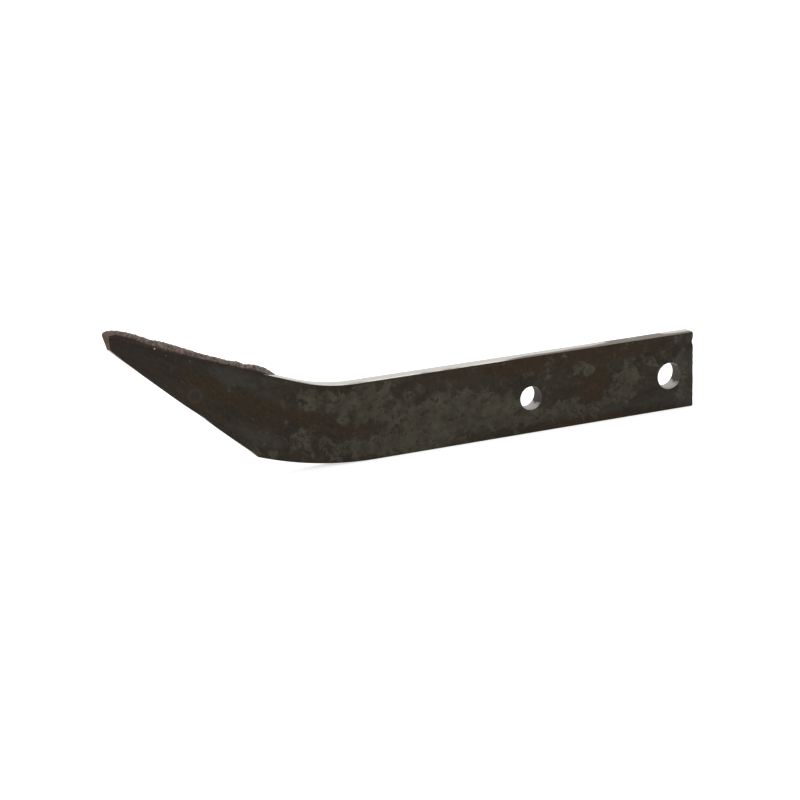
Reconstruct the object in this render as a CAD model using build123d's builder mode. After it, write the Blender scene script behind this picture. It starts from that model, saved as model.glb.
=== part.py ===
from build123d import *

import os
from math import cos, pi, radians, sin, tan

# Ridger tine: a flat steel bar bent on edge, cropped to a point and hard faced
# along its leading edge. Millimetres. X runs along the shank towards the holed
# end, Z up, Y across the thickness. The origin is the centre of the end bolt hole.

# Bar stock
bar_width = 50
bar_thickness = 10
rolled_edge_radius = 1.2
spare_length = 40

# Bolt holes in the shank
end_hole_diameter = 17
inner_hole_diameter = 15
hole_pitch = 102
end_margin = 18
hole_height = 23
hole_edge_break = 0.3

# Bend on edge, measured along the hollow leading edge
shank_length = 260
blade_length = 144
bend_angle = 19.7
inner_bend_radius = 110
outer_bend_radius = 233

# Taper cut that makes the point, the blunt end that it leaves, and the bevel that
# wear has put on the far lower corner of that end
taper_angle = 41
tip_height = 7.5
worn_corner_depth = 2.3

# Small bite that the crop left in the holed end
nick_radius = 1.6
nick_depth = 0.7
nick_drop = 6.5

# Weld deposit on the leading edge
bead_half_width = 4.92
bead_root_depth = 3
bead_step = 2
bead_overrun = 4
toe_narrowing = 0.6
toe_fade_length = 10
toe_skew = 45
skew_start = 72
least_crown_rise = 0.7
ripple_pitch = 6
ripple_height = 0.15

# Height of the weld's crown above the leading edge, by distance from the point
crown_heights = [
    (-4, 0.5),
    (-0.5, 2.9),
    (2, 4.3),
    (5, 5.0),
    (10, 5.4),
    (16, 5.4),
    (26, 4.4),
    (32, 4.6),
    (48, 3.9),
    (60, 2.6),
    (78, 2.5),
    (83, 2.9),
    (89, 2.5),
    (96, 3.3),
    (102, 2.9),
    (106, 1.9),
    (109, 0.4),
    (111, -0.8),
]

# Height of the weld's flat sides, which fill the bar's thickness near the point
side_heights = [
    (-4, -0.6),
    (-0.5, 1.4),
    (3, 3.2),
    (12, 2.8),
    (24, 1.4),
    (36, 0.3),
    (111, 0.2),
]

holed_end_x = end_margin
bottom_z = -hole_height
top_z = bar_width - hole_height
bend_x = holed_end_x - shank_length
half_bend_shift = bar_width * tan(radians(bend_angle / 2))
edge_cos = cos(radians(bend_angle))
edge_sin = sin(radians(bend_angle))
tip_x = bend_x - blade_length * edge_cos
tip_top_z = top_z + blade_length * edge_sin
blank_end = blade_length + spare_length
weld_start = crown_heights[-1][0]
weld_steps = round((weld_start + bead_overrun) / bead_step)

front_face = Plane.XZ.offset(bar_thickness / 2)
holed_end_cut = Plane.YZ.offset(holed_end_x)
tip_cut = Plane.YZ.offset(tip_x)
tip_low_z = tip_top_z - tip_height
worn_corner_cut = Plane(
    origin=(tip_x, bar_thickness / 2, tip_top_z),
    x_dir=(0, bar_thickness, tip_height),
    z_dir=(
        tip_height * bar_thickness,
        -tip_height * worn_corner_depth,
        bar_thickness * worn_corner_depth,
    ),
)
taper_cut = Plane(
    origin=(tip_x, 0, tip_low_z),
    z_dir=(sin(radians(taper_angle)), 0, cos(radians(taper_angle))),
)


def along_blade(distance, depth):
    """Point on the blade: distance from the bend corner, depth below the leading edge."""
    x = bend_x - distance * edge_cos - depth * edge_sin
    z = top_z + distance * edge_sin - depth * edge_cos
    return (x, z)


def between(points, at):
    """Straight-line value between the two listed points on each side of at."""
    for (before, low), (after, high) in zip(points, points[1:]):
        if at <= after:
            return low + (high - low) * (at - before) / (after - before)
    return points[-1][1]


def weld_section(from_point):
    """Plane, half width, side and crown heights of the weld at a distance from the point."""
    fade = min(1, (weld_start - from_point) / toe_fade_length)
    ripple = fade * ripple_height * sin(2 * pi * from_point / ripple_pitch)
    crown = between(crown_heights, from_point) + ripple
    side = min(between(side_heights, from_point), crown - least_crown_rise)
    skew = radians(toe_skew * max(0, from_point - skew_start) / (weld_start - skew_start))
    x, z = along_blade(blade_length - from_point, 0)
    plane = Plane(
        origin=(x, 0, z),
        x_dir=(edge_cos * sin(skew), cos(skew), -edge_sin * sin(skew)),
        z_dir=(edge_cos * cos(skew), -sin(skew), -edge_sin * cos(skew)),
    )
    half_width = (bead_half_width - toe_narrowing * (1 - fade)) / cos(skew)
    return (plane, half_width, side, crown)


# The bar: a blank with its two bend corners rounded and its long edges rolled.
# Its four cuts come after that, so they leave sharp edges: holed end, point, taper
# and the worn corner of the point
with BuildPart() as tine_bar:
    with BuildSketch(Plane.XZ) as blank_outline:
        with BuildLine():
            Polyline(
                (holed_end_x + spare_length, bottom_z),
                (holed_end_x + spare_length, top_z),
                (bend_x, top_z),
                along_blade(blank_end, 0),
                along_blade(blank_end, bar_width),
                (bend_x - half_bend_shift, bottom_z),
                close=True,
            )
        make_face()
    extrude(amount=bar_thickness / 2, both=True)

    across = tine_bar.edges().filter_by(Axis.Y)
    fillet(across.sort_by_distance((bend_x, 0, top_z))[0], radius=inner_bend_radius)
    across = tine_bar.edges().filter_by(Axis.Y)
    outer_corner = (bend_x - half_bend_shift, 0, bottom_z)
    fillet(across.sort_by_distance(outer_corner)[0], radius=outer_bend_radius)
    fillet(tine_bar.faces().filter_by(Axis.Y).edges(), radius=rolled_edge_radius)

    split(bisect_by=holed_end_cut, keep=Keep.BOTTOM)
    split(bisect_by=tip_cut, keep=Keep.TOP)
    split(bisect_by=taper_cut, keep=Keep.TOP)
    split(bisect_by=worn_corner_cut, keep=Keep.TOP)

    with Locations(front_face):
        Hole(radius=end_hole_diameter / 2, depth=bar_thickness)
        with Locations((-hole_pitch, 0)):
            Hole(radius=inner_hole_diameter / 2, depth=bar_thickness)
    bores = tine_bar.faces().filter_by(GeomType.CYLINDER).filter_by(
        lambda wall: wall.radius in (end_hole_diameter / 2, inner_hole_diameter / 2)
    )
    chamfer(bores.edges().filter_by(GeomType.CIRCLE), length=hole_edge_break)

    nick_x = holed_end_x + nick_radius - nick_depth
    with Locations((nick_x, -bar_thickness / 2, top_z - nick_drop)):
        Sphere(radius=nick_radius, mode=Mode.SUBTRACT)

tine_bar.part.label = "tine_bar"

# The weld deposit: one rippled run, slanted at its toe and flat sided near the point,
# that ends flush with the bar's blunt end. The bar is cut out of it, so that it seats
# on the leading edge
with BuildPart() as hardfacing_bead:
    for step in range(weld_steps + 1):
        from_point = weld_start - (weld_start + bead_overrun) * step / weld_steps
        plane, half_width, side, crown = weld_section(from_point)
        with BuildSketch(plane):
            with BuildLine():
                Polyline(
                    (-half_width, side),
                    (-half_width, -bead_root_depth),
                    (half_width, -bead_root_depth),
                    (half_width, side),
                )
                ThreePointArc((half_width, side), (0, crown), (-half_width, side))
            make_face()
    loft()
    split(bisect_by=tip_cut, keep=Keep.TOP)
    split(bisect_by=worn_corner_cut, keep=Keep.TOP)
    add(tine_bar.part, mode=Mode.SUBTRACT)

hardfacing_bead.part.label = "hardfacing_bead"

os.makedirs("parts", exist_ok=True)
for name, node in (("tine_bar", tine_bar), ("hardfacing_bead", hardfacing_bead)):
    export_step(node.part, f"parts/{name}.step")
    size = node.part.bounding_box().size
    print(name, f"{size.X:.1f} x {size.Y:.1f} x {size.Z:.1f} mm, {node.part.volume:.0f} mm3")
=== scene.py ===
# %% [markdown]
# # Ridger tine
# A ridger tine is a length of flat steel bar, bent on edge, cropped to a point, hard
# faced with weld along its hollow edge, and drilled at the other end for two bolts.
# The CAD model is loaded first and is never moved. Every new piece is made in its
# frame: X runs along the shank towards the holed end, Y goes through the thickness
# away from the viewer, Z points up, and the origin is the centre of the end hole.

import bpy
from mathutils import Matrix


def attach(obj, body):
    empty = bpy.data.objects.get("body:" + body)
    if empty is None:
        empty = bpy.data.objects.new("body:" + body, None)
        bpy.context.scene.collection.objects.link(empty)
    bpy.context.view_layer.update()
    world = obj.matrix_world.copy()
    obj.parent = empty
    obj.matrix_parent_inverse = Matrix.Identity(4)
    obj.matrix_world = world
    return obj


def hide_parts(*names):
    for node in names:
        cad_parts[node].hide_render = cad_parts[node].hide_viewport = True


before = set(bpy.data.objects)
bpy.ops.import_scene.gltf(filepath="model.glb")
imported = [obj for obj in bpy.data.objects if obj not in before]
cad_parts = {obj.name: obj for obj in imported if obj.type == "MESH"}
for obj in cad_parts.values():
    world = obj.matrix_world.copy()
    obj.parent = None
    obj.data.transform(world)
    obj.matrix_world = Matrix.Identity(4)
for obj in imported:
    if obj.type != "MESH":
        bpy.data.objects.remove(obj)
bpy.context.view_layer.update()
print("nodes", sorted(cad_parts))

# %% [markdown]
# ## Working in millimetres
# The scene is in metres, but a tine is easier to think of in millimetres. So every
# piece is worked out in millimetres and turned into metres when its mesh is filled. The
# mesh keeps its place in its own points, and its object stays at the origin, unturned
# and unscaled, so that a pattern that reads Object coordinates holds still.

import bpy
import numpy as np
from mathutils import Matrix, Vector

MM = 0.001


def new_object(name, data):
    """An object in the scene that shows a mesh, a lamp or a camera."""
    thing = bpy.data.objects.new(name, data)
    bpy.context.scene.collection.objects.link(thing)
    return thing


def fill_mesh(name, points, quads, materials, quad_material, sharp_degrees):
    """One object from an array of points in mm and an array of four-sided faces. An edge
    that turns by more than sharp_degrees is shaded sharp."""
    used, renumbered = np.unique(quads, return_inverse=True)
    quads = renumbered.reshape(quads.shape)
    mesh = bpy.data.meshes.new(name)
    mesh.from_pydata((points[used] * MM).tolist(), [], quads.tolist())
    for material in materials:
        mesh.materials.append(material)
    mesh.polygons.foreach_set("material_index", np.asarray(quad_material, np.int32))
    mesh.polygons.foreach_set("use_smooth", np.ones(len(quads), bool))
    mesh.set_sharp_from_angle(angle=np.radians(sharp_degrees))
    mesh.update()
    print(name, len(mesh.vertices), "points", 2 * len(quads), "triangles")
    return new_object(name, mesh), used


# %% [markdown]
# ## Smooth random heights
# Rolled, cropped and welded steel is never quite even. One small table of random
# numbers, made from a fixed seed so that it is the same on each run, gives a soft
# landscape: its values sit at whole-number corners, and between them the height runs
# from one to the next along the curve 3t² - 2t³, which starts and ends level.

# %% A soft random landscape
TABLE_SIDE = 64


def soft_step(t):
    """0 below 0, 1 above 1, and 3t² - 2t³ between."""
    t = np.clip(t, 0, 1)
    return t * t * (3 - 2 * t)


def unevenness(u, v, sizes, seed):
    """Heights from -1 to 1: the two places are divided by the sizes of a lump, each
    whole-number corner has a random value, and it is blended between them."""
    table = np.random.default_rng(seed).uniform(-1, 1, (TABLE_SIDE, TABLE_SIDE))
    u, v = u / sizes[0], v / sizes[1]
    i, j = np.floor(u).astype(int), np.floor(v).astype(int)
    a, b = soft_step(u - i), soft_step(v - j)
    i0, i1, j0, j1 = i % TABLE_SIDE, (i + 1) % TABLE_SIDE, j % TABLE_SIDE, (j + 1) % TABLE_SIDE
    near = table[i0, j0] * (1 - a) + table[i1, j0] * a
    far = table[i0, j1] * (1 - a) + table[i1, j1] * a
    return near * (1 - b) + far * b


sample = unevenness(np.linspace(0, 20, 500), np.linspace(3, 9, 500), (1, 1), seed=1)
print("unevenness from", sample.min().round(2), "to", sample.max().round(2))

# %% [markdown]
# ## Sizes of the bar
# The tine is cut from stock flat bar, so a few lengths in millimetres and two angles
# give its form: the shank with its holes, the bend, the blade and the taper cut.

# %% Sizes of the bar
BAR_WIDTH, BAR_THICKNESS, ROLLED_RADIUS = 50.0, 10.0, 1.2
END_MARGIN, HOLE_HEIGHT, HOLE_PITCH = 18.0, 23.0, 102.0
SHANK_LENGTH, BLADE_LENGTH, BEND = 260.0, 144.0, np.radians(19.7)
INNER_RADIUS, OUTER_RADIUS = 110.0, 233.0
TAPER, TIP_HEIGHT = np.radians(41.0), 7.5
TOP_Z, BOTTOM_Z = BAR_WIDTH - HOLE_HEIGHT, -HOLE_HEIGHT
BEND_X = END_MARGIN - SHANK_LENGTH
TIP_X = BEND_X - BLADE_LENGTH * np.cos(BEND)
TIP_TOP_Z = TOP_Z + BLADE_LENGTH * np.sin(BEND)
LEADING_STRAIGHT = SHANK_LENGTH - INNER_RADIUS * np.tan(BEND / 2)
LOWER_STRAIGHT = SHANK_LENGTH - (OUTER_RADIUS - BAR_WIDTH) * np.tan(BEND / 2)
print("top corner of the point at", TIP_X.round(2), TIP_TOP_Z.round(2))

# %% [markdown]
# ## The bar's outline
# The outline is two edges: the leading edge above and the lower edge below. Each runs
# straight along the shank, turns through the bend and runs straight along the blade.
# The two arcs don't share a centre, because a press forms the inside of a bend tighter
# than the outside. From the heel on, the lower edge follows the taper cut to the point.

# %% The two edges
def bent_edge(travel, straight, radius, height):
    """Point reached after a way along one edge from the holed end: straight, then an
    arc that turns by the bend's angle, then straight again at that angle."""
    turn = np.clip((travel - straight) / radius, 0, BEND)
    beyond = np.maximum(travel - straight - radius * BEND, 0)
    x = END_MARGIN - np.minimum(travel, straight) - radius * np.sin(turn) - beyond * np.cos(BEND)
    z = height + radius * (1 - np.cos(turn)) + beyond * np.sin(BEND)
    return x, z


def leading_edge(travel):
    """The hollow upper edge, which ends at the top corner of the point."""
    return bent_edge(travel, LEADING_STRAIGHT, INNER_RADIUS, TOP_Z)


def rolled_lower_edge(travel):
    """The lower edge of the uncut bar."""
    return bent_edge(travel, LOWER_STRAIGHT, OUTER_RADIUS, BOTTOM_Z)


tries = np.linspace(LOWER_STRAIGHT, SHANK_LENGTH + BLADE_LENGTH, 4000)
try_x, try_z = rolled_lower_edge(tries)
above_cut = try_z - (TIP_TOP_Z - TIP_HEIGHT - np.tan(TAPER) * (try_x - TIP_X))
HEEL_TRAVEL = np.interp(0, -above_cut, tries)
HEEL_X, HEEL_Z = rolled_lower_edge(HEEL_TRAVEL)
TAPER_LENGTH = np.hypot(HEEL_X - TIP_X, HEEL_Z - TIP_TOP_Z + TIP_HEIGHT)


def lower_edge(travel):
    """The rolled lower edge as far as the heel, then the taper cut up to the point."""
    x, z = rolled_lower_edge(np.minimum(travel, HEEL_TRAVEL))
    along_cut = np.maximum(travel - HEEL_TRAVEL, 0)
    return x - along_cut * np.cos(TAPER), z + along_cut * np.sin(TAPER)


print("heel at", HEEL_X.round(2), HEEL_Z.round(2), "taper cut", TAPER_LENGTH.round(2), "mm long")

# %% [markdown]
# ## A box of grid points, bent into the bar
# The bar has six sides and two round holes. The clearest way to one clean surface is a
# box of grid points, numbered along the bar, up its width and through its thickness.
# Only the points on its six sides and on the walls of the holes get faces. The grid is
# bent into the bar's outline, and it has a line wherever the real bar has an edge, such
# as the start of a rolled corner or the side of the square that becomes a hole.

# %% Grid lines with a line on every edge
def even_steps(breaks, cells):
    """Break number and fraction for every grid line: each gap is cut into equal cells
    of about the size given for it."""
    counts = np.maximum(1, np.round(np.abs(np.diff(breaks)) / cells)).astype(int)
    parts = [number + np.arange(count) / count for number, count in enumerate(counts)]
    return np.concatenate(parts + [[float(len(counts))]])


def lines_at(steps, breaks):
    """Places of the grid lines, straight between the breaks."""
    return np.interp(steps, np.arange(len(breaks)), breaks)


END_HOLE, INNER_HOLE, RIM_BREAK = 8.5, 7.5, 0.3
# the finer zones at the two ends, and how much further along its edge than the heel
# the heel's partner on the leading edge lies
NICK_ZONE, POINT_ZONE, HEEL_PARTNER = 3.0, 4.0, 8.9
hole_breaks = [END_MARGIN - END_HOLE, END_MARGIN + END_HOLE,
               END_MARGIN + HOLE_PITCH - INNER_HOLE, END_MARGIN + HOLE_PITCH + INNER_HOLE]
leading_at_heel = HEEL_TRAVEL + HEEL_PARTNER
leading_end = LEADING_STRAIGHT + INNER_RADIUS * BEND + BLADE_LENGTH - INNER_RADIUS * np.tan(BEND / 2)
leading_breaks = [0, NICK_ZONE, *hole_breaks, LOWER_STRAIGHT, leading_at_heel,
                  leading_end - POINT_ZONE, leading_end]
lower_breaks = [0, NICK_ZONE, *hole_breaks, LOWER_STRAIGHT, HEEL_TRAVEL,
                HEEL_TRAVEL + TAPER_LENGTH - POINT_ZONE, HEEL_TRAVEL + TAPER_LENGTH]
length_steps = even_steps(leading_breaks, [0.6, 1.0, 1.0, 1.2, 1.0, 1.2, 1.2, 1.1, 0.7])
width_breaks = [0, ROLLED_RADIUS, HOLE_HEIGHT - END_HOLE, HOLE_HEIGHT - INNER_HOLE,
                HOLE_HEIGHT + INNER_HOLE, HOLE_HEIGHT + END_HOLE, BAR_WIDTH - ROLLED_RADIUS, BAR_WIDTH]
width_lines = lines_at(even_steps(width_breaks, [0.3, 1.1, 1, 1, 1, 1.1, 0.3]), width_breaks)
half = BAR_THICKNESS / 2
depth_breaks = [-half, -half + RIM_BREAK, -half + ROLLED_RADIUS,
                half - ROLLED_RADIUS, half - RIM_BREAK, half]
depth_lines = lines_at(even_steps(depth_breaks, [0.3, 0.3, 1.2, 0.3, 0.3]), depth_breaks)
COUNTS = (len(length_steps), len(width_lines), len(depth_lines))
print("grid lines along, across and through:", COUNTS)

# %% [markdown]
# ## Rounding a square
# A rolled corner and a drilled hole are both a square of grid points made round. A
# point keeps its direction from the centre, and its distance becomes the half width of
# the square ring that it lies on, so the ring turns into a circle. Round a hole this
# eases back to the square grid some way out, so no seam shows.

# %% Round corners and round holes
def ring_to_circle(a, b):
    """The point (a, b) of a square ring moved onto the circle of that half width: it is
    scaled by the ring's half width over its own distance from the centre."""
    ring = np.maximum(np.abs(a), np.abs(b))
    share = ring / np.maximum(np.hypot(a, b), 1e-9)
    return a * share, b * share


def roll_corner(from_edge, y, radius, amount):
    """Rounds the corners between a narrow edge and the two wide faces by amount, from
    0, sharp, to 1, a full quarter circle."""
    a = np.clip((radius - from_edge) / radius, 0, 1)
    b = np.clip((np.abs(y) - half + radius) / radius, 0, 1)
    round_a, round_b = ring_to_circle(a, b)
    in_corner = (a > 0) & (b > 0)
    new_edge = radius * (1 - (a + (round_a - a) * amount))
    new_y = np.sign(y) * (half - radius + radius * (b + (round_b - b) * amount))
    return np.where(in_corner, new_edge, from_edge), np.where(in_corner, new_y, y)


def open_hole(x, z, y, centre_x, radius, reach):
    """Moves the square ring round a hole onto its circle, easing out at reach, and
    widens it by the broken rim at the two faces."""
    a, b = x - centre_x, z
    ring = np.maximum(np.abs(a), np.abs(b))
    ease = 1 - soft_step((ring - radius) / (reach - radius))
    rim = RIM_BREAK * np.clip((np.abs(y) - half + RIM_BREAK) / RIM_BREAK, 0, 1)
    round_a, round_b = ring_to_circle(a, b)
    wider = 1 + rim / np.maximum(ring, radius)
    return x + (round_a * wider - a) * ease, z + (round_b * wider - b) * ease


print("corner of a square of 1:", [round(float(c), 3) for c in ring_to_circle(1.0, 1.0)])

# %% [markdown]
# ## Bending the grid into the tine
# Each grid line across the bar runs straight from a point on the lower edge to its
# partner on the leading edge. The long edges are rolled, so their corners are round;
# cropping leaves an edge that is a little drawn down on the struck face and sharper on
# the other. The wide faces dip by a few hundredths of a millimetre, never outwards, as
# hot rolled bar does. The soil has worn the blunt point askew: on the far side its top
# corner reaches further out and its lower corner lies further back. The taper cut isn't
# straight either. A list gives how far it is worn or torn inwards, in millimetres, at
# some shares of the way from the point to the heel. Below 0 the cut stands proud.

# %% Wear of the taper cut and of the blunt end
CUT_WEAR = np.array([
    (0, 0.9), (0.02, 0.65), (0.05, 0.45), (0.09, 0.22), (0.17, 0.12), (0.25, -0.12), (0.34, -0.17),
    (0.42, -0.22), (0.5, -0.2), (0.54, 0.0), (0.58, 0.24), (0.62, 0.62), (0.66, 0.34), (0.71, 0.04),
    (0.75, 0.0), (0.83, 0.1), (0.91, 0.3), (0.95, 0.55), (0.98, 0.3), (1, 0.0)])
TORN_WEAR, FAR_WEAR = 0.06, 0.4
LOW_CORNER_BACK, TOP_CORNER_OUT, END_REACH = 2.3, 0.85, 12.0
END_SLOPE = (TOP_CORNER_OUT * np.cos(BEND) + LOW_CORNER_BACK * np.cos(TAPER)) / TIP_HEIGHT
along, across, through = np.meshgrid(length_steps, width_lines, depth_lines, indexing="ij")
lead_travel, low_travel = lines_at(along, leading_breaks), lines_at(along, lower_breaks)
far_side = (through + half) / BAR_THICKNESS
leading_near_end = np.clip((lead_travel - leading_end) / END_REACH + 1, 0, 1)
lead_travel = lead_travel + TOP_CORNER_OUT * far_side * leading_near_end
lower_near_end = np.clip((low_travel - HEEL_TRAVEL - TAPER_LENGTH) / END_REACH + 1, 0, 1)
low_travel = low_travel - LOW_CORNER_BACK * far_side * lower_near_end
print("the blunt end leans by", END_SLOPE.round(2), "mm for each mm of height on the far side")

# %% The bar's points
HEEL_EASE, NEAR_CROP_ROLL, FAR_CROP_ROLL = 1.5, 0.30, 0.10
FACE_DIP, HOLE_REACH = 0.035, 15.5
past_heel = soft_step((low_travel - HEEL_TRAVEL) / HEEL_EASE)
crop_roll = np.where(through < 0, NEAR_CROP_ROLL, FAR_CROP_ROLL)
from_low, y = roll_corner(across, through, ROLLED_RADIUS, 1 - past_heel * (1 - crop_roll))
from_top, y = roll_corner(BAR_WIDTH - across, y, ROLLED_RADIUS, 1.0)
height = np.where(across < BAR_WIDTH / 2, from_low, BAR_WIDTH - from_top) / BAR_WIDTH
lead_x, lead_z = leading_edge(lead_travel)
low_x, low_z = lower_edge(low_travel)
from_point = 1 - np.clip((low_travel - HEEL_TRAVEL) / TAPER_LENGTH, 0, 1)
wear = np.interp(from_point, CUT_WEAR[:, 0], CUT_WEAR[:, 1])
wear = wear * (1 - (1 - FAR_WEAR) * far_side) * past_heel
torn = (1 + unevenness(low_travel, through, (1.7, 3.0), seed=11)) / 2
wear = wear + TORN_WEAR * past_heel * torn
low_x, low_z = low_x + wear * np.sin(TAPER), low_z + wear * np.cos(TAPER)
x = low_x + (lead_x - low_x) * height
z = low_z + (lead_z - low_z) * height
on_face = np.abs(through) > half - 0.01
dip = FACE_DIP * (1 + unevenness(lead_travel, across, (9, 7), seed=12)) * on_face
y = y - np.sign(y) * dip
for hole_x, hole_radius in ((0.0, END_HOLE), (-HOLE_PITCH, INNER_HOLE)):
    x, z = open_hole(x, z, y, hole_x, hole_radius, HOLE_REACH)
bar_points = np.stack([x, y, z], axis=-1)
print("bar from", bar_points.min((0, 1, 2)).round(2), "to", bar_points.max((0, 1, 2)).round(2))

# %% [markdown]
# ## Marks of cropping on the holed end
# The holed end was cropped from a long bar. The shear left a small bite in the near
# corner, high up, and a slightly rough face. Points on that end are pushed back into
# the bar, so the mark is cut in the mesh itself and shows in any light.

# %% The bite in the holed end
NICK_Z, NICK_RADIUS, NICK_DEPTH = TOP_Z - 6.5, 1.7, 0.8
END_FADE, TORN_DEPTH = 2.5, 0.10
on_end = soft_step(1 - (END_MARGIN - x) / END_FADE)
reach = np.hypot(z - NICK_Z, y + half)
bite = NICK_DEPTH * np.exp(-((reach / NICK_RADIUS) ** 2)) * on_end
torn = TORN_DEPTH * (1 + unevenness(z, y, (2.1, 2.4), seed=13)) * on_end
bar_points[..., 0] -= bite + torn * (along == 0)
print("deepest bite", bite.max().round(2), "mm")

# %% [markdown]
# ## Faces of the bar
# A side of the grid box is every pair of neighbouring lines on that side. Each quad
# lists its corners so that it faces outwards. The squares inside the two holes are
# left out of the wide faces, and their four sides get walls through the thickness.

# %% The bar's faces
def point_number(i, j, k):
    """Number of a grid point, counted along, then across, then through."""
    return (i * COUNTS[1] + j) * COUNTS[2] + k


def patch(first, second, place, flip=False):
    """Quads over two runs of grid lines; place turns a pair of line numbers into points."""
    a, b = np.meshgrid(first[:-1], second[:-1], indexing="ij")
    quads = np.stack([place(a, b), place(a, b + 1), place(a + 1, b + 1), place(a + 1, b)], -1)
    quads = quads.reshape(-1, 4)
    return quads[:, ::-1] if flip else quads


def line_near(lines, value):
    """Number of the grid line at a place."""
    return int(np.argmin(np.abs(lines - value)))


I, J, K = (np.arange(count) for count in COUNTS)
last_i, last_j, last_k = I[-1], J[-1], K[-1]
print("grid points", last_i + 1, "x", last_j + 1, "x", last_k + 1)

# %% The squares that become holes, and the sides
travel_lines = lines_at(length_steps, leading_breaks)
hole_squares = []
for centre, radius in ((END_MARGIN, END_HOLE), (END_MARGIN + HOLE_PITCH, INNER_HOLE)):
    span_i = [line_near(travel_lines, centre + side * radius) for side in (-1, 1)]
    span_j = [line_near(width_lines, HOLE_HEIGHT + side * radius) for side in (-1, 1)]
    hole_squares.append((span_i, span_j))
cell_i, cell_j = np.meshgrid(I[:-1], J[:-1], indexing="ij")
solid = np.ones(cell_i.shape, bool)
for (i0, i1), (j0, j1) in hole_squares:
    solid &= ~((cell_i >= i0) & (cell_i < i1) & (cell_j >= j0) & (cell_j < j1))
solid = solid.ravel()
heel_line = line_near(lines_at(length_steps, lower_breaks), HEEL_TRAVEL)
SCALE, ROLLED, CROPPED, DRILLED, WORN = 0, 1, 2, 3, 4
LIP_CELLS = line_near(depth_lines, -half + ROLLED_RADIUS)
sides = [
    (patch(I, J, lambda i, j: point_number(i, j, 0))[solid], SCALE),
    (patch(I, J, lambda i, j: point_number(i, j, last_k), True)[solid], SCALE),
    (patch(I, K, lambda i, k: point_number(i, last_j, k)), ROLLED),
    (patch(I[:heel_line + 1], K, lambda i, k: point_number(i, 0, k), True), SCALE),
    (patch(I[heel_line:], K[:LIP_CELLS + 1], lambda i, k: point_number(i, 0, k), True), SCALE),
    (patch(I[heel_line:], K[LIP_CELLS:], lambda i, k: point_number(i, 0, k), True), CROPPED),
    (patch(J, K, lambda j, k: point_number(0, j, k)), CROPPED),
    (patch(J, K, lambda j, k: point_number(last_i, j, k), True), WORN),
]
for (i0, i1), (j0, j1) in hole_squares:
    run_i, run_j = np.arange(i0, i1 + 1), np.arange(j0, j1 + 1)
    sides += [
        (patch(run_i, K, lambda i, k, j=j0: point_number(i, j, k)), DRILLED),
        (patch(run_i, K, lambda i, k, j=j1: point_number(i, j, k), True), DRILLED),
        (patch(run_j, K, lambda j, k, i=i0: point_number(i, j, k), True), DRILLED),
        (patch(run_j, K, lambda j, k, i=i1: point_number(i, j, k)), DRILLED),
    ]
bar_quads = np.concatenate([quads for quads, _ in sides])
bar_finish = np.concatenate([np.full(len(quads), finish) for quads, finish in sides])
print("quads of each finish", np.bincount(bar_finish))

# %% [markdown]
# ## Laying down the weld
# The hard facing is weld metal laid along the leading edge from near the bend to the
# point, where wear has cut it off flush with the bar's blunt end. It could be sculpted,
# but a profile carried along the edge keeps to it and is changed by a few numbers. The
# profile has upright sides and a round crown. Near the point the deposit fills the
# whole thickness, so its sides are flush with the wide faces and stand highest there.
# Two lists give the height of the crown and of the sides above the leading edge at
# some distances from the point.

# %% The weld's crown and sides
CROWN = np.array([(-4, 0.5), (-0.5, 2.9), (2, 4.3), (5, 5.0), (10, 5.4), (16, 5.4), (26, 4.4), (32, 4.6),
                  (48, 3.9), (60, 2.6), (78, 2.5), (83, 2.9), (89, 2.5), (96, 3.3), (102, 2.9),
                  (106, 1.9), (109, 0.4), (111, -0.8)])
SIDES = np.array([(-4, -0.6), (-0.5, 1.4), (3, 3.2), (12, 2.8), (24, 1.4), (36, 0.3), (111, 0.1)])
TOE, OVERRUN, ROOT, LEAST_RISE = 111.0, 2.4, 0.9, 0.7
STATIONS, SPOTS = 378, 84
back = np.linspace(TOE, -OVERRUN, STATIONS)


def smoothed(table, over):
    """Straight-line heights between the listed ones, averaged over some stations."""
    heights = np.interp(back, table[:, 0], table[:, 1])
    return np.convolve(np.pad(heights, over // 2, "edge"), np.full(over, 1 / over), "valid")


crown = smoothed(CROWN, 7)
sides_up = np.minimum(smoothed(SIDES, 9), crown - LEAST_RISE)
print("crown of the weld up to", crown.max().round(2), "mm")

# %% [markdown]
# ## The weld's profile and its roughness
# Round the profile a second number runs from 0 to a full turn. The upper half is an
# ellipse over the upright sides; the lower half, a box sunk in the bar, is never seen.
# Lumps, grains, grit and ripples are added outwards, and are full from a third of the
# crown's height upwards. The ripples bow back at the crown, as a cooling puddle leaves
# them. All fade out at the toe and where the point is worn.

# %% Profile of the weld at every station
WELD_HALF_WIDTH, FLUSH, CROWN_POWER, BOX_POWER = 4.90, 4.97, 0.94, 0.45
TOE_NARROWING, NARROW_REACH, NARROW_EASE = 0.55, 11, 10
TOE_FADE, POINT_FADE = 8, 1.6
RIPPLE_HEIGHT, RIPPLE_PITCH, RIPPLE_BOW = 0.10, 2.7, 0.5
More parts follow.
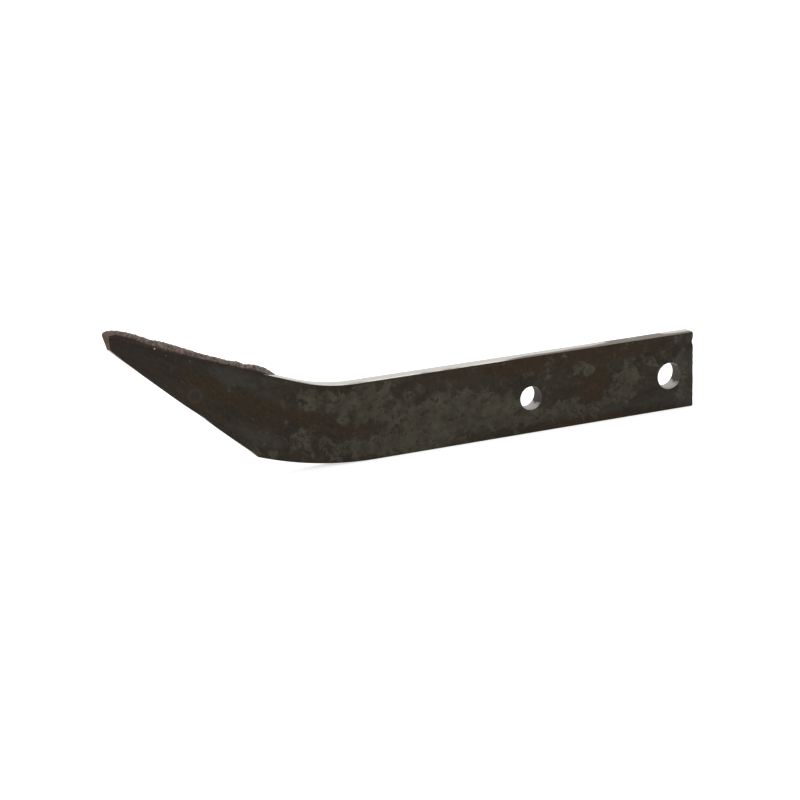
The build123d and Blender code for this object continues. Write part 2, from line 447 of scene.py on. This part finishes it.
# height, length along the edge, width round the profile and seed
ROUGHNESS = [(0.30, 3.4, 3.0, 21), (0.19, 1.25, 1.15, 22), (0.08, 0.6, 0.6, 23)]
round_profile = np.linspace(0, 2 * np.pi, SPOTS + 1)[:-1]
S, PHI = np.meshgrid(np.arange(STATIONS), round_profile, indexing="ij")
side, rise = np.cos(PHI), np.sin(PHI)
upper = rise > 0
side = np.sign(side) * np.abs(side) ** np.where(upper, CROWN_POWER, BOX_POWER)
rise = np.sign(rise) * np.abs(rise) ** np.where(upper, 1.0, BOX_POWER)
half_width = WELD_HALF_WIDTH - TOE_NARROWING * soft_step((back - TOE + NARROW_REACH) / NARROW_EASE)
end_fades = soft_step((TOE - back[S]) / TOE_FADE) * soft_step(1 + back[S] / POINT_FADE)
rough = sum(height * unevenness(back[S], PHI * half, (length, width), seed)
            for height, length, width, seed in ROUGHNESS)
rough = rough + RIPPLE_HEIGHT * np.sin(2 * np.pi * (back[S] / RIPPLE_PITCH + RIPPLE_BOW * side ** 2))
rough = rough * soft_step(rise / 0.5 + 0.3) * end_fades
side_mm = np.clip(side * half_width[S] * (1 + rough / 8), -FLUSH, FLUSH)
below = ROOT + sides_up[S]
rise_mm = sides_up[S] + np.where(upper, (crown[S] - sides_up[S]) * rise, below * rise)
rise_mm = rise_mm + rough * np.clip(rise, 0, 1)
print("roughness of the weld up to", np.abs(rough).max().round(2), "mm")

# %% [markdown]
# ## The weld on its edge, slanted at the toe and worn off at the point
# The profile is laid along the leading edge. At its toe the run was started at a
# slant, so points on the far side lie further towards the shank. At the point every
# part that would reach past the blunt end is brought back to it. A smooth maximum, the
# half sum of a length and the root of its square plus a small square, does this and
# rounds the edge on the way. The blunt end leans out on its far side, most at the bar's
# top corner, and below that corner the weld falls back into the bar.

# %% Carry the profile along the edge
TOE_SLANT, SLANT_START = np.radians(45), 72.0
PROUD, FALL_BACK, MOST_LEAN, EDGE_ROUND = 0.04, 0.4, 0.9, 0.5
slant = np.tan(TOE_SLANT) * np.clip((back - SLANT_START) / (TOE - SLANT_START), 0, 1)
travel_back = back[S] + slant[S] * side_mm
weld_x = TIP_X + travel_back * np.cos(BEND) + rise_mm * np.sin(BEND)
weld_z = TIP_TOP_Z - travel_back * np.sin(BEND) + rise_mm * np.cos(BEND)
far_share = (side_mm + half) / BAR_THICKNESS
above_corner = weld_z - TIP_TOP_Z - far_share * TOP_CORNER_OUT * np.sin(BEND)
lean = far_share * (TOP_CORNER_OUT * np.cos(BEND) - END_SLOPE * np.abs(above_corner))
lean = lean + FALL_BACK * np.minimum(above_corner, 0)
beyond = weld_x - (TIP_X - PROUD - np.clip(lean, -MOST_LEAN, MOST_LEAN))
weld_x = weld_x - beyond + (beyond + np.sqrt(beyond ** 2 + EDGE_ROUND ** 2)) / 2
weld_points = np.stack([weld_x, side_mm, weld_z], axis=-1).reshape(-1, 3)
print("weld from", weld_points.min(0).round(2), "to", weld_points.max(0).round(2))

# %% [markdown]
# ## Closing the weld
# Each quad joins two neighbouring spots of one ring to the same two of the next, and
# lists them so that it faces outwards. The first and last rings are closed by quads
# across them, because an open end would show its inside.

# %% Close the weld's surface
rings = np.arange(STATIONS - 1)[:, None] * SPOTS
spots = np.arange(SPOTS)[None, :]
next_spots = (spots + 1) % SPOTS
weld_quads = np.stack([rings + spots, rings + SPOTS + spots,
                       rings + SPOTS + next_spots, rings + next_spots], -1).reshape(-1, 4)
start_ring, end_ring = np.arange(SPOTS), np.arange(SPOTS) + (STATIONS - 1) * SPOTS


def ring_cap(numbers, flip):
    """Quads across a closed ring of points, pairing each point with its mirror point."""
    count = len(numbers) // 2
    step = np.arange(count - 1)
    opposite = len(numbers) - 1 - step
    quads = np.stack([numbers[step], numbers[step + 1], numbers[opposite - 1], numbers[opposite]], -1)
    return quads[:, ::-1] if flip else quads


weld_quads = np.concatenate([weld_quads, ring_cap(start_ring, False), ring_cap(end_ring, True)])
print("weld quads", len(weld_quads))

# %% [markdown]
# ## Spatter
# Welding throws small drops that freeze on the cold bar beside the run. One bright
# drop sits on the near side not far from the point, and a few finer ones lie along the
# weld. Each is a flattened ball on a grid of two angles, 12 by 8 faces, and mostly
# sunk. All of them are made in one array.

# %% Drops of spatter
drops = np.array([
    # distance back from the point, depth below the leading edge, side, radius
    (29.0, -0.4, -4.60, 0.60), (37.0, 2.2, -4.74, 0.30), (52.5, 2.4, -4.76, 0.28),
    (63.0, 1.9, -4.72, 0.34), (21.0, 4.4, -4.74, 0.30), (78.0, 1.6, -4.76, 0.28),
    (30.0, 3.0, 4.70, 0.42), (57.0, 2.2, 4.74, 0.34), (88.0, 2.0, 4.74, 0.30),
])
turn, tilt = np.meshgrid(np.linspace(0, 2 * np.pi, 13)[:-1], np.linspace(0.02, np.pi - 0.02, 9))
FLATNESS = 0.8
ball = np.stack([np.cos(turn) * np.sin(tilt), np.cos(tilt) * FLATNESS, np.sin(turn) * np.sin(tilt)], -1)
centre_x = TIP_X + drops[:, 0] * np.cos(BEND) - drops[:, 1] * np.sin(BEND)
centre_z = TIP_TOP_Z - drops[:, 0] * np.sin(BEND) - drops[:, 1] * np.cos(BEND)
centres = np.stack([centre_x, drops[:, 2], centre_z], -1)
drop_points = (centres[:, None, None] + drops[:, 3][:, None, None, None] * ball).reshape(-1, 3)
rows, columns = ball.shape[:2]
a, b = np.meshgrid(np.arange(rows - 1), np.arange(columns), indexing="ij")
one_ball = np.stack([a * columns + b, a * columns + (b + 1) % columns,
                     (a + 1) * columns + (b + 1) % columns, (a + 1) * columns + b], -1).reshape(-1, 4)
first_pole, last_pole = np.arange(columns), np.arange(columns) + (rows - 1) * columns
one_ball = np.concatenate([one_ball, ring_cap(first_pole, True), ring_cap(last_pole, False)])
drop_quads = (np.arange(len(drops))[:, None, None] * rows * columns + one_ball).reshape(-1, 4)
print(len(drops), "drops")

# %% [markdown]
# ## Small tools for materials
# A material is a tree of nodes. `put` adds one node, and `fill_inputs` gives its inputs
# values or links from other nodes. Colours are given as they look on a screen, from 0
# to 255, and turned into the linear light values that the shader works with.

# %% Node helpers
def screen(red, green, blue):
    """Screen colour to linear light: divide by 255, then the sRGB curve backwards."""
    value = np.array([red, green, blue]) / 255
    linear = np.where(value <= 0.04045, value / 12.92, ((value + 0.055) / 1.055) ** 2.4)
    return (*linear.tolist(), 1.0)


def fill_inputs(tree, node, inputs):
    """Each input gets a value, or a link from an output of another node."""
    for name, value in inputs.items():
        if isinstance(value, bpy.types.NodeSocket):
            tree.links.new(value, node.inputs[name])
        else:
            node.inputs[name].default_value = value


def put(tree, kind, inputs=None, **settings):
    """Adds a node with its settings and its inputs."""
    node = tree.nodes.new("ShaderNode" + kind)
    for name, value in settings.items():
        setattr(node, name, value)
    fill_inputs(tree, node, inputs or {})
    return node


def read_field(tree, name, output="Fac"):
    """A value or a vector that is written on the mesh."""
    return put(tree, "Attribute", attribute_name=name).outputs[output]


def mix_colour(tree, share, first, second, how="MIX"):
    """Colour between two colours, or one laid on the other by a blend mode."""
    node = put(tree, "Mix", {0: share, 6: first, 7: second}, data_type="RGBA", blend_type=how)
    return node.outputs[2]


def reckon(tree, how, first, second=0.0):
    """One sum on two numbers."""
    return put(tree, "Math", {0: first, 1: second}, operation=how).outputs[0]


def ramp_up(tree, value, low, high):
    """0 below low, 1 above high, and a soft step between."""
    node = put(tree, "MapRange", {"Value": value, "From Min": low, "From Max": high},
               interpolation_type="SMOOTHSTEP")
    return node.outputs["Result"]


def spread(tree, value, to_low, to_high, low=0.0, high=1.0):
    """Straight-line change: low becomes to_low and high becomes to_high."""
    return put(tree, "MapRange", {"Value": value, "From Min": low, "From Max": high,
                                  "To Min": to_low, "To Max": to_high}).outputs["Result"]


print("mid scale brown in linear light", [round(c, 4) for c in screen(49, 42, 33)[:3]])

# %% [markdown]
# ## Groups and materials
# A node group is a small tree with named inputs and outputs that several materials
# can share. `new_group` makes an empty one, and `use_group` places it in a tree.
# `new_material` gives a material with its tree and its shader, and `add_bump` a relief.

# %% Group and material helpers
def new_group(name, inputs, outputs):
    """An empty node group with named inputs and outputs, given as name and kind."""
    group = bpy.data.node_groups.new(name, "ShaderNodeTree")
    kinds = {"value": "NodeSocketFloat", "vector": "NodeSocketVector"}
    for in_out, sockets in (("INPUT", inputs), ("OUTPUT", outputs)):
        for socket, kind in sockets.items():
            group.interface.new_socket(socket, in_out=in_out, socket_type=kinds[kind])
    return group, group.nodes.new("NodeGroupInput").outputs, group.nodes.new("NodeGroupOutput").inputs


def use_group(tree, group, inputs):
    """Places a group in a tree and gives its outputs."""
    return put(tree, "Group", inputs, node_tree=group).outputs


def new_material(name):
    """A material with one Principled shader, and a look-up of its tree and shader."""
    material = bpy.data.materials.new(name)
    material.use_nodes = True
    tree = material.node_tree
    return material, tree, tree.nodes["Principled BSDF"]


def add_bump(tree, shader, height, strength, depth):
    """Fine relief from a height between 0 and 1. Its depth is in metres."""
    bump = put(tree, "Bump", {"Height": height, "Strength": strength, "Distance": depth})
    tree.links.new(bump.outputs["Normal"], shader.inputs["Normal"])


print("materials so far", len(bpy.data.materials))

# %% [markdown]
# ## Effects that several finishes share
# *Islands* are patches with a ragged edge, in which mill scale changes its tone and
# bare steel is stained. *Grain* is the fine tooth of steel, used for bump and for
# slight changes of tone. Each is a node group, built once and used with its own sizes.

# %% Shared node groups
islands, given, result = new_group(
    "islands", {"Place": "vector", "Size": "value", "Cover": "value", "Edge": "value"},
    {"Mask": "value"})
scale_of = reckon(islands, "DIVIDE", 1.0, given["Size"])
noise = put(islands, "TexNoise", {"Vector": given["Place"], "Scale": scale_of, "Detail": 6.0,
                                  "Roughness": 0.62, "Distortion": 0.35}).outputs["Fac"]
level = reckon(islands, "ADD", noise, reckon(islands, "SUBTRACT", given["Cover"], 0.5))
low = reckon(islands, "SUBTRACT", 0.5, given["Edge"])
high = reckon(islands, "ADD", 0.5, given["Edge"])
islands.links.new(ramp_up(islands, level, low, high), result["Mask"])

grain, given, result = new_group(
    "grain", {"Place": "vector", "Size": "value"}, {"Height": "value", "Tone": "value"})
scale_of = reckon(grain, "DIVIDE", 1.0, given["Size"])
fine = put(grain, "TexNoise", {"Vector": given["Place"], "Scale": scale_of, "Detail": 3.0,
                               "Roughness": 0.6}).outputs["Fac"]
coarse_scale = reckon(grain, "MULTIPLY", scale_of, 0.23)
coarse = put(grain, "TexNoise", {"Vector": given["Place"], "Scale": coarse_scale, "Detail": 4.0,
                                 "Roughness": 0.55}).outputs["Fac"]
half_fine = reckon(grain, "MULTIPLY", fine, 0.5)
half_coarse = reckon(grain, "MULTIPLY", coarse, 0.5)
grain.links.new(reckon(grain, "ADD", half_fine, half_coarse), result["Height"])
grain.links.new(coarse, result["Tone"])


def island_mask(tree, place, size, cover, edge):
    """Mask of ragged islands about as large as size, in metres. Cover above 0.5 gives
    more of them, and edge is the softness of their outline."""
    return use_group(tree, islands, {"Place": place, "Size": size, "Cover": cover, "Edge": edge})["Mask"]


print("groups", [group.name for group in (islands, grain)])

# %% [markdown]
# ## Mill scale on the wide faces
# Hot rolling leaves a dark skin of oxide. On this bar it is dark brown, with patches
# of olive grey where the skin is thicker, rusty brown along the edges of the shank, a
# warmer ochre brown on the blade, and plain grey by the weld and the holed end. Each
# tone is laid over the one before. Where it is likely is written on the mesh as a soft
# field, and the islands group breaks its edge up.

# %% Tones of the wide faces
scale_steel, tree, shader = new_material("mill_scale")
place = read_field(tree, "place", "Vector")
likely = {name: read_field(tree, name) for name in ("olive", "grey", "brown", "ochre", "point_darkening")}
streaky = put(tree, "Mapping", {"Vector": place, "Scale": (0.35, 1.0, 1.0)}).outputs["Vector"]
tooth = use_group(tree, grain, {"Place": place, "Size": 0.0011})
under = island_mask(tree, streaky, size=0.010, cover=0.5, edge=0.12)
base = mix_colour(tree, under, screen(38, 31, 24), screen(53, 46, 36))
brown_mask = island_mask(tree, streaky, size=0.008, cover=likely["brown"], edge=0.10)
base = mix_colour(tree, brown_mask, base, screen(52, 38, 22))
ochre_mask = island_mask(tree, streaky, size=0.010, cover=likely["ochre"], edge=0.16)
base = mix_colour(tree, ochre_mask, base, screen(48, 37, 19))
grey_mask = island_mask(tree, streaky, size=0.007, cover=likely["grey"], edge=0.14)
base = mix_colour(tree, grey_mask, base, screen(60, 58, 55))
olive_mask = island_mask(tree, place, size=0.0065, cover=likely["olive"], edge=0.055)
clouds = island_mask(tree, place, size=0.009, cover=0.52, edge=0.16)
veins = island_mask(tree, place, size=0.0034, cover=0.40, edge=0.05)
olive_tone = mix_colour(tree, clouds, screen(62, 58, 49), screen(82, 79, 68))
olive_tone = mix_colour(tree, veins, olive_tone, screen(46, 40, 32))
base = mix_colour(tree, olive_mask, base, olive_tone)
print("mill scale nodes so far", len(tree.nodes))

# %% [markdown]
# ## Small marks, grain and gloss of the mill scale
# Pale flecks lie all over. One round spot on the blade is a dull grey disc with a paler
# ring. The blade is darker towards the point and along its leading edge. Last, the grain
# changes the tone a little, the gloss with it, and the bump. The scale is an oxide and not
# bare metal, so it isn't metallic, and it shines little.

# %% Marks, grain and gloss
flecks = island_mask(tree, place, size=0.0022, cover=0.5, edge=0.10)
base = mix_colour(tree, reckon(tree, "MULTIPLY", flecks, 0.24), base, screen(74, 68, 57))
spot = read_field(tree, "spot")
base = mix_colour(tree, ramp_up(tree, spot, 0.08, 0.3), base, screen(65, 57, 46))
base = mix_colour(tree, ramp_up(tree, spot, 0.35, 0.65), base, screen(51, 46, 46))
# a darker tone towards the point and along the blade's leading edge
base = mix_colour(tree, likely["point_darkening"], base, screen(40, 34, 31))
tone = ramp_up(tree, tooth["Tone"], 0.25, 0.75)
toned = mix_colour(tree, tone, screen(82, 77, 68), screen(174, 169, 157))
base = mix_colour(tree, 0.5, base, toned, "OVERLAY")
roughness = spread(tree, tooth["Tone"], 0.52, 0.68, low=0.3, high=0.7)
fill_inputs(tree, shader, {"Base Color": base, "Roughness": roughness, "Specular IOR Level": 0.14})
add_bump(tree, shader, tooth["Height"], strength=0.25, depth=0.0002)
print("mill scale nodes", len(tree.nodes))

# %% [markdown]
# ## Bare edges, cropped ends, drilled holes and the worn point
# The leading edge has rubbed bright, with brown left in places. A cropped face is
# bright where the blade sheared it and dull where it tore. A drilled wall is plain bare
# steel. The blunt end is tan, worn by soil and stained by the weld's heat. All are
# metal where they are bright, so they show their surroundings, and less so where they
# are stained. Their roughness changes with the same grain.

# %% Bare steels
def bare_steel(name, bright, dull, dull_size, dull_cover, smooth, rough):
    """Bare steel with duller islands in it. Smooth and rough are its least and its most
    roughness."""
    material, tree, shader = new_material(name)
    place = read_field(tree, "place", "Vector")
    streaky = put(tree, "Mapping", {"Vector": place, "Scale": (0.3, 1.0, 1.0)}).outputs["Vector"]
    cover = reckon(tree, "ADD", read_field(tree, "stain"), dull_cover)
    mask = island_mask(tree, streaky, dull_size, cover, edge=0.12)
    tooth = use_group(tree, grain, {"Place": streaky, "Size": 0.0008})
    metal = reckon(tree, "SUBTRACT", 1.0, reckon(tree, "MULTIPLY", mask, 0.8))
    roughness = spread(tree, tooth["Tone"], smooth, rough)
    roughness = reckon(tree, "ADD", roughness, reckon(tree, "MULTIPLY", mask, 0.2))
    fill_inputs(tree, shader, {"Base Color": mix_colour(tree, mask, bright, dull),
                               "Metallic": metal, "Roughness": roughness})
    add_bump(tree, shader, tooth["Height"], strength=0.3, depth=0.0002)
    return material


rolled_steel = bare_steel("rolled_edge", screen(190, 187, 181), screen(110, 102, 92),
                          dull_size=0.010, dull_cover=0.0, smooth=0.30, rough=0.46)
cropped_steel = bare_steel("cropped_face", screen(150, 138, 124), screen(96, 78, 60),
                           dull_size=0.004, dull_cover=0.25, smooth=0.42, rough=0.60)
drilled_steel = bare_steel("drilled_wall", screen(150, 148, 144), screen(62, 58, 53),
                           dull_size=0.003, dull_cover=0.10, smooth=0.38, rough=0.52)
worn_steel = bare_steel("worn_point", screen(87, 69, 51), screen(74, 56, 40),
                        dull_size=0.002, dull_cover=0.5, smooth=0.6, rough=0.7)
worn_tree = worn_steel.node_tree
fill_inputs(worn_tree, worn_tree.nodes["Principled BSDF"], {"Specular IOR Level": 0.12})
print("bare steels", rolled_steel.name, cropped_steel.name, drilled_steel.name, worn_steel.name)

# %% [markdown]
# ## Weld metal
# The deposit is a grainy, dull grey brown crust. Its crown is paler, partly its own rubbed
# tone and partly a painted highlight where it faces up, and its sides are darkened as
# painted shade. The blunt end and the crown near it have the tan of burnt metal. Where the
# crown and the tan lie is written on the mesh.

# %% Material of the weld
weld_metal, tree, shader = new_material("weld_metal")
place = put(tree, "TexCoord").outputs["Object"]
on_crown, burnt = read_field(tree, "crown"), read_field(tree, "burnt")
tooth = use_group(tree, grain, {"Place": place, "Size": 0.0007})
clumps = island_mask(tree, place, size=0.0022, cover=0.5, edge=0.12)
# the crown's colour: partly the weld's own paler tone, partly a painted highlight
crown_tone_and_painted_highlight = mix_colour(tree, clumps, screen(75, 63, 56), screen(128, 114, 104))
# under: the colour of the weld's sides, darkened as painted shade
under = mix_colour(tree, clumps, screen(44, 36, 32), screen(55, 45, 40))
colour = mix_colour(tree, on_crown, under, crown_tone_and_painted_highlight)
colour = mix_colour(tree, burnt, colour, screen(95, 76, 61))
roughness = spread(tree, tooth["Tone"], 0.5, 0.8)
fill_inputs(tree, shader, {"Base Color": colour, "Roughness": roughness, "Specular IOR Level": 0.12})
add_bump(tree, shader, tooth["Height"], strength=0.6, depth=0.0004)
print("weld metal nodes", len(tree.nodes))
spatter_metal = bare_steel("spatter_drop", screen(170, 160, 150), screen(96, 84, 72),
                           dull_size=0.001, dull_cover=-0.1, smooth=0.4, rough=0.6)

# %% [markdown]
# ## The bar's mesh and where a place on it lies
# The finished bar stands in for the solid bar and rides with the same body. Its
# patterns follow the flat bar, as the scale was rolled on before the bend was made. So
# each point also stores its place on the flat bar: how far from the holed end, how far
# below the leading edge, and how far through the thickness.

# %% Fill the bar's mesh
BAR_SHARP = 38


def write_field(piece, name, values, kind="FLOAT"):
    """Stores one number or one vector on every point of a piece."""
    field = piece.data.attributes.new(name, kind, "POINT")
    key = "vector" if kind == "FLOAT_VECTOR" else "value"
    field.data.foreach_set(key, np.asarray(values, np.float32).ravel())


bar, bar_used = fill_mesh("tine_bar_finished", bar_points.reshape(-1, 3), bar_quads,
                          [scale_steel, rolled_steel, cropped_steel, drilled_steel, worn_steel],
                          bar_finish, BAR_SHARP)
flat_along = ((lead_travel + low_travel) / 2).reshape(-1)[bar_used]
flat_below = (BAR_WIDTH - across).reshape(-1)[bar_used]
flat_through = through.reshape(-1)[bar_used]
write_field(bar, "place", np.stack([flat_along, flat_below, flat_through], -1) * MM, "FLOAT_VECTOR")
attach(bar, "root")
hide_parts("tine_bar")

# %% [markdown]
# ## Where each tone of the scale is likely
# The soft fields are sums of broad hills on the flat bar. Each hill is given by its
# distance from the holed end, its depth below the leading edge, its two half sizes and
# its height. They were judged from the look of such a bar.

# %% Fields of the mill scale
def hills(along, below, places):
    """Sum of smooth hills: each is its height times e to the minus square of the
    distance from its centre, in units of its half sizes."""
    total = np.zeros_like(along)
    for at, depth, length, width, rise in places:
        total = total + rise * np.exp(-(((along - at) / length) ** 2) - ((below - depth) / width) ** 2)
    return total


olive = 0.36 + hills(flat_along, flat_below, [
    (180, 27, 30, 13, 0.38), (196, 44, 32, 8, 0.32), (140, 32, 22, 10, 0.24), (95, 40, 36, 5, 0.20),
    (6, 25, 10, 26, 0.16), (22, 20, 12, 8, 0.12), (50, 26, 9, 9, 0.40), (64, 34, 7, 5, 0.20),
    (80, 14, 10, 4, 0.30), (44, 12, 12, 4, 0.12), (96, 34, 14, 8, 0.14), (112, 12, 8, 6, 0.16),
    (232, 13, 24, 13, 0.24), (265, 12, 18, 8, 0.18), (246, 41, 34, 6, 0.26), (280, 34, 12, 5, 0.14),
    (300, 46, 20, 6, 0.12)])
grey = 0.22 + hills(flat_along, flat_below, [
    (315, 9, 30, 7, 0.36), (345, 5, 30, 4, 0.20), (312, 40, 22, 10, 0.34), (4, 25, 14, 40, 0.34),
    (66, 41, 56, 5, 0.34), (140, 12, 12, 5, 0.16), (150, 44, 40, 5, 0.20)])
brown = 0.26 + hills(flat_along, flat_below, [
    (110, 5, 70, 6, 0.36), (55, 7, 50, 5, 0.26), (80, 47, 70, 3, 0.34), (74, 24, 13, 12, 0.46),
    (240, 29, 20, 8, 0.32), (272, 26, 16, 8, 0.30), (206, 32, 8, 8, 0.22), (365, 38, 24, 9, 0.34)])
ochre = 0.12 + hills(flat_along, flat_below, [
    (330, 20, 30, 8, 0.46), (300, 24, 40, 10, 0.44), (352, 14, 22, 6, 0.34)])
# field of the darker tone towards the point and along the blade's leading edge
point_darkening = hills(flat_along, flat_below, [
    (404, 25, 40, 40, 0.60), (365, 1, 40, 5, 0.45), (300, 24, 40, 12, 0.12)])
for name, values in (("olive", olive), ("grey", grey), ("brown", brown), ("ochre", ochre), ("point_darkening", point_darkening)):
    write_field(bar, name, values)
    print(name, "from", values.min().round(2), "to", values.max().round(2))

# %% [markdown]
# ## The round spot and the stains
# The round spot on the near face of the blade is one hill in the bent frame. The
# leading edge is stained brown towards the holed end, and its near half is duller all
# along. The walls of the holes are stained on the side towards the holed end.

# %% Fields of the spot and the stains
SPOT_X, SPOT_Z, SPOT_RADIUS = -326.7, 34.3, 3.6
NEAR_STRIP, NEAR_EASE, NEAR_DULL, EDGE_ZONE = 4.0, 5.0, 0.36, 3.0
BRIGHT_FROM, SHANK_EASE, SHANK_DULL = 150.0, 25.0, 0.34
spot = hills(bar_points[..., 0].reshape(-1)[bar_used], bar_points[..., 2].reshape(-1)[bar_used],
             [(SPOT_X, SPOT_Z, SPOT_RADIUS, SPOT_RADIUS, 1.0)]) * (flat_through < 0)
near_strip = 1 - soft_step((flat_through + NEAR_STRIP) / NEAR_EASE)
near_stain = near_strip * (NEAR_DULL + SHANK_DULL * soft_step((BRIGHT_FROM - flat_along) / SHANK_EASE))
edge_stain = hills(flat_along, flat_through, [(48, 0, 36, 20, 0.48), (26, 0, 10, 20, 0.50)])
wall_stain = hills(flat_along, flat_below, [(10, 26, 3.5, 9, 0.9), (113, 26, 3.5, 8, 0.9)])
write_field(bar, "spot", spot)
write_field(bar, "stain", (flat_below < EDGE_ZONE) * (edge_stain + near_stain) + wall_stain)
print("points in the round spot", int((spot > 0.35).sum()))

# %% [markdown]
# ## Putting the weld and its spatter in place
# The weld's painted highlight on its crown and painted shade on its sides follow how far
# round the crown a point lies. Its part of the blunt end is tan, and so, less, is the crown
# near it. Both pieces ride with the bar, because the weld is fused to it.

# %% Fill the weld and the spatter
WELD_SHARP, CROWN_START, CROWN_EASE = 60, 0.04, 0.42
END_SKIN, END_EASE, END_TAN = 0.1, 0.7, 0.95
TAN_START, TAN_EASE, CROWN_TAN = 4, 14, 0.35
weld, weld_used = fill_mesh("hardfacing_weld", weld_points, weld_quads, [weld_metal],
                            np.zeros(len(weld_quads)), WELD_SHARP)
# how far up the crown a point lies: the painted highlight on the crown and the painted shade on the sides
on_crown = soft_step((rise - CROWN_START) / CROWN_EASE)
write_field(weld, "crown", on_crown.reshape(-1)[weld_used])
on_blunt_end = 1 - soft_step((beyond + END_SKIN) / END_EASE)
near_point = CROWN_TAN * (1 - soft_step((back - TAN_START) / TAN_EASE))[S] * on_crown
burnt_share = np.maximum(END_TAN * on_blunt_end, near_point)
write_field(weld, "burnt", burnt_share.reshape(-1)[weld_used])
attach(weld, "root")
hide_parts("hardfacing_bead")
spatter, spatter_used = fill_mesh("weld_spatter", drop_points, drop_quads, [spatter_metal],
                                  np.zeros(len(drop_quads)), WELD_SHARP)
write_field(spatter, "place", drop_points[spatter_used] * MM, "FLOAT_VECTOR")
write_field(spatter, "stain", np.zeros(len(spatter_used)))
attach(spatter, "root")

# %% [markdown]
# ## Floor and world
# The tine stands on the lower edge of its shank on a pale floor. Floor and world are
# white to the camera and in reflections, and weaker for everything else. So the
# background is white without more light on the steel, and the floor keeps its shadow.

# %% Floor
def seen_rays(tree):
    """1 for rays that the camera, a reflection or a clear body sees, and 0 for light."""
    rays = put(tree, "LightPath").outputs
    reflected = reckon(tree, "MAXIMUM", rays["Is Glossy Ray"], rays["Is Transmission Ray"])
    return reckon(tree, "MAXIMUM", rays["Is Camera Ray"], reflected)


# the floor's height is in mm, and its four sides are in metres
FLOOR_Z, FLOOR_GLOW = BOTTOM_Z - 0.05, 0.62
LEFT, RIGHT, FRONT, BACK = -9, 9, -9, 30
floor_corners = [(LEFT, FRONT), (RIGHT, FRONT), (RIGHT, BACK), (LEFT, BACK)]
floor_mesh = bpy.data.meshes.new("floor")
floor_mesh.from_pydata([(x, y, FLOOR_Z * MM) for x, y in floor_corners], [], [(0, 1, 2, 3)])
floor = new_object("floor", floor_mesh)
floor_white, tree, shader = new_material("pale_floor")
glow = reckon(tree, "MULTIPLY", seen_rays(tree), FLOOR_GLOW)
fill_inputs(tree, shader, {
    "Base Color": screen(246, 246, 245), "Roughness": 0.9, "Specular IOR Level": 0.1,
    "Emission Color": (1, 1, 1, 1), "Emission Strength": glow})
floor_mesh.materials.append(floor_white)
print("floor at", FLOOR_Z, "mm")

# %% World
FILL_LIGHT, BACKDROP = 0.45, 1.0
world = bpy.data.worlds.new("studio")
bpy.context.scene.world = world
world.use_nodes = True
tree = world.node_tree
strength = spread(tree, seen_rays(tree), FILL_LIGHT, BACKDROP)
fill_inputs(tree, tree.nodes["Background"], {"Color": (1, 1, 1, 1), "Strength": strength})
print("world", world.name)

# %% [markdown]
# ## Lamps
# The light is a soft studio: a wide lamp above and a little behind, which brightens
# whatever faces up, and one in front on the left, which keeps the wide face readable.

# %% Lamps
MIDDLE = Vector((-180, 0, 10)) * MM


def soft_lamp(name, place, width, depth, watts):
    """A rectangular lamp at a place in metres, turned to face the middle of the tine."""
    lamp = bpy.data.lights.new(name, "AREA")
    lamp.shape, lamp.size, lamp.size_y, lamp.energy = "RECTANGLE", width, depth, watts
    holder = new_object(name, lamp)
    holder.location = place
    holder.rotation_euler = (MIDDLE - Vector(place)).to_track_quat("-Z", "Y").to_euler()


soft_lamp("lamp_above", (-0.15, 0.45, 1.15), width=1.6, depth=1.0, watts=7.0)
soft_lamp("lamp_front", (-1.1, -1.3, 0.9), width=1.0, depth=1.0, watts=9.0)

# %% [markdown]
# ## The camera
# The camera looks down at the tine from the left. Its heading, tilt and roll turn the
# three axes of the view, and its place is given in the tine's own frame.

# %% Camera
heading, tilt_down, roll = 0.44659, 0.27227, 0.02861
CAMERA_PLACE = Vector((-808.51, -1289.25, 409.82)) * MM
flat_ahead = np.cos(tilt_down)
ahead = Vector((np.sin(heading) * flat_ahead, np.cos(heading) * flat_ahead, -np.sin(tilt_down)))
level = Vector((np.cos(heading), -np.sin(heading), 0))
upward = level.cross(ahead)
right = level * np.cos(roll) - upward * np.sin(roll)
up = upward * np.cos(roll) + level * np.sin(roll)
lens = bpy.data.cameras.new("camera")
lens.sensor_width, lens.lens = 36.0, 108.694
camera = new_object("camera", lens)
turned = Matrix((right, up, -ahead)).transposed().to_4x4()
camera.matrix_world = Matrix.Translation(CAMERA_PLACE) @ turned
bpy.context.scene.camera = camera
bpy.context.scene.view_settings.view_transform = "Standard"
print("camera looks along", [round(c, 3) for c in ahead])
